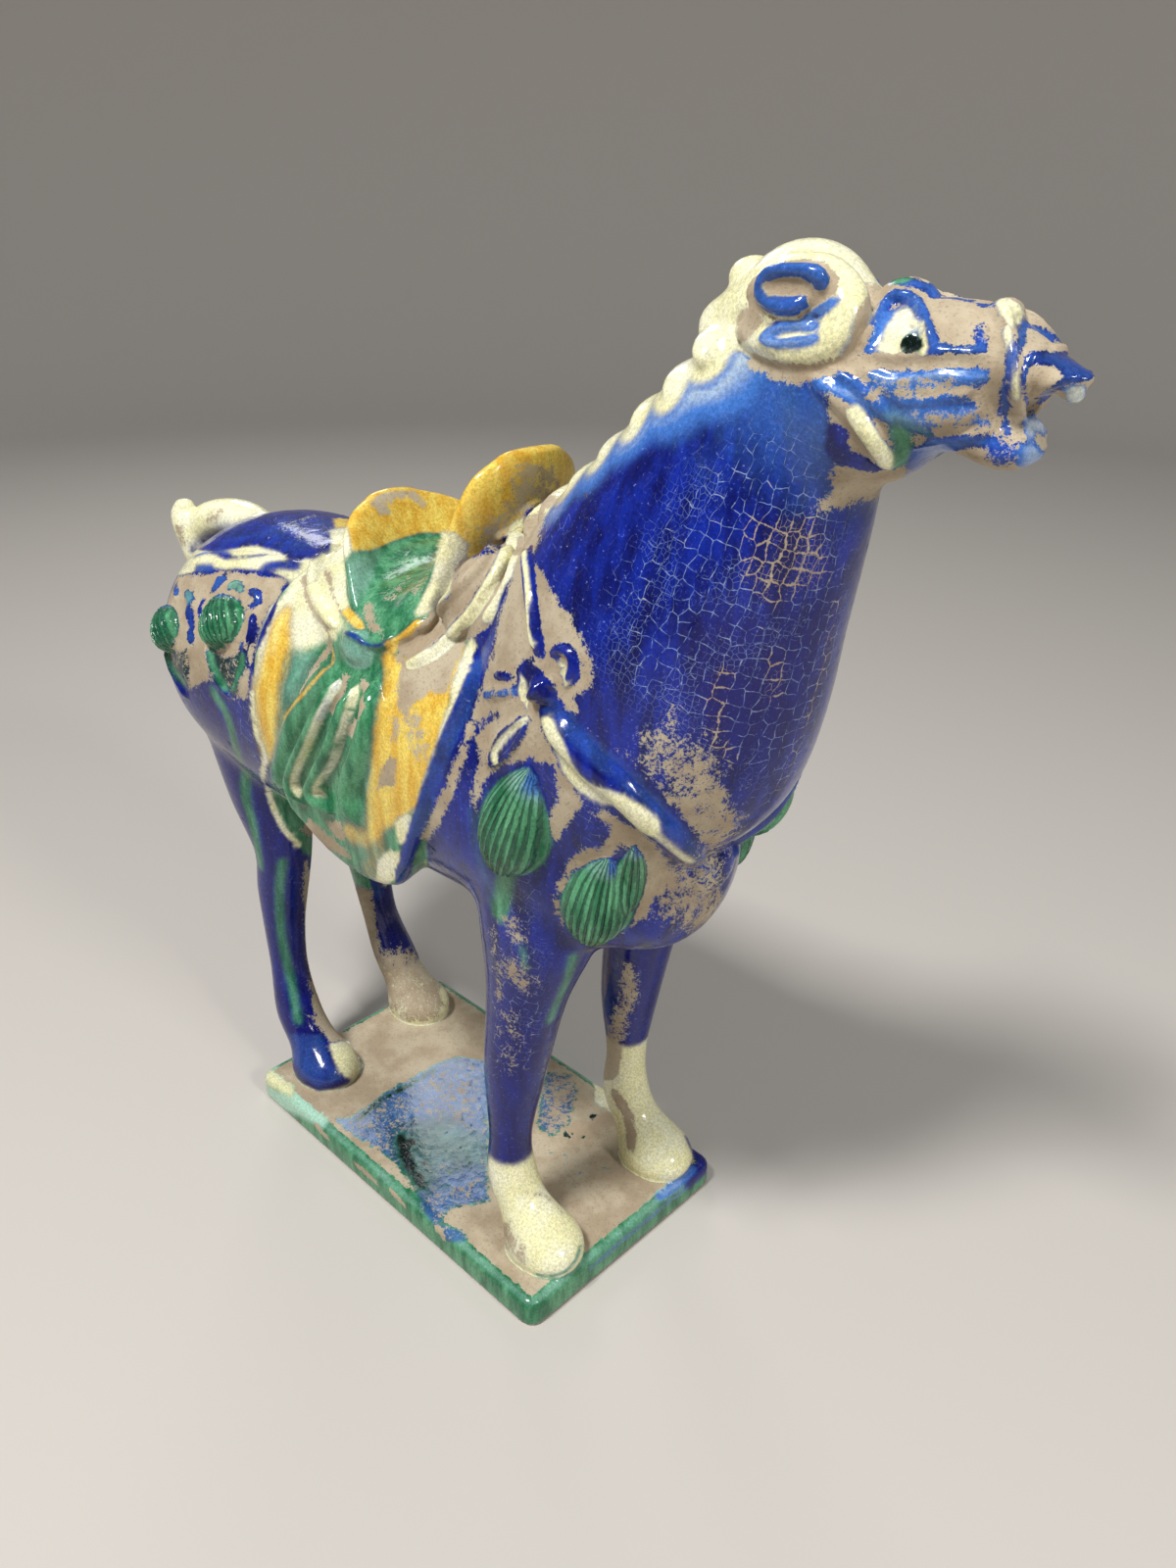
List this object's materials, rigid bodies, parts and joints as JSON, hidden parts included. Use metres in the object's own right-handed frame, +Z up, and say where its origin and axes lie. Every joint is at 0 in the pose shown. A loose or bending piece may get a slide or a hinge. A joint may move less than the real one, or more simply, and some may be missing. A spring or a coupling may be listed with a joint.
{
  "type": "glazed ceramic horse figure",
  "caption": "Standing saddled horse in splashed blue, green, amber and cream glaze over bare clay, on its own rectangular base slab.",
  "frame": {"origin": "centre of the base slab's underside", "axes": "+Z up, +X the way the horse faces, +Y to the horse's left; the slab's sides lie along X and Y"},
  "size_m": [0.2718, 0.0882, 0.2649],
  "materials": {
    "glazed_clay": "glossy lead-type glaze in cobalt blue, green, amber and cream over matte pinkish-buff fired clay, crazed and worn bare in patches"
  },
  "bodies": {
    "root": {"ceramic_horse": "glazed_clay"}
  },
  "joints": []
}
